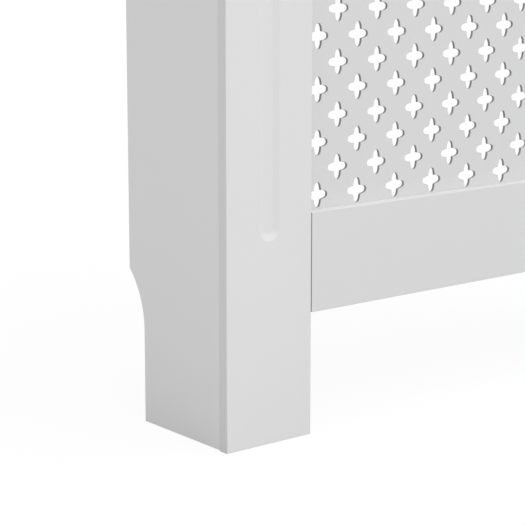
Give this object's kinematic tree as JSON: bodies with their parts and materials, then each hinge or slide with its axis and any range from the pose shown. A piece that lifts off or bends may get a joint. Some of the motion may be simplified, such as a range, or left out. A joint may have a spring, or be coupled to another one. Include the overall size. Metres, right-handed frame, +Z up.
{
  "type": "radiator cover cabinet",
  "caption": "Free-standing white painted board cabinet that covers a wall radiator, with a pierced front panel, fluted stiles, an open back and skirting cut-outs.",
  "frame": {"origin": "on the floor, at the middle of the footprint of the top board", "axes": "+X to the viewer's right along the front, which faces -Y; +Y towards the wall; +Z up"},
  "size_m": [0.78, 0.19, 0.815],
  "materials": {
    "white_paint": "satin",
    "pine": "matte",
    "beech": "matte",
    "zinc_steel": "satin"
  },
  "bodies": {
    "root": {"top_board": "white_paint", "left_side_panel": "white_paint", "right_side_panel": "white_paint", "left_stile": "white_paint", "right_stile": "white_paint", "upper_rail": "white_paint", "lower_rail": "white_paint", "grille_panel": "white_paint", "left_corner_batten": "pine", "right_corner_batten": "pine", "left_top_cleat": "pine", "right_top_cleat": "pine", "front_top_cleat": "pine", "rail_dowels": "beech", "left_wall_bracket": "zinc_steel", "right_wall_bracket": "zinc_steel"}
  },
  "joints": []
}
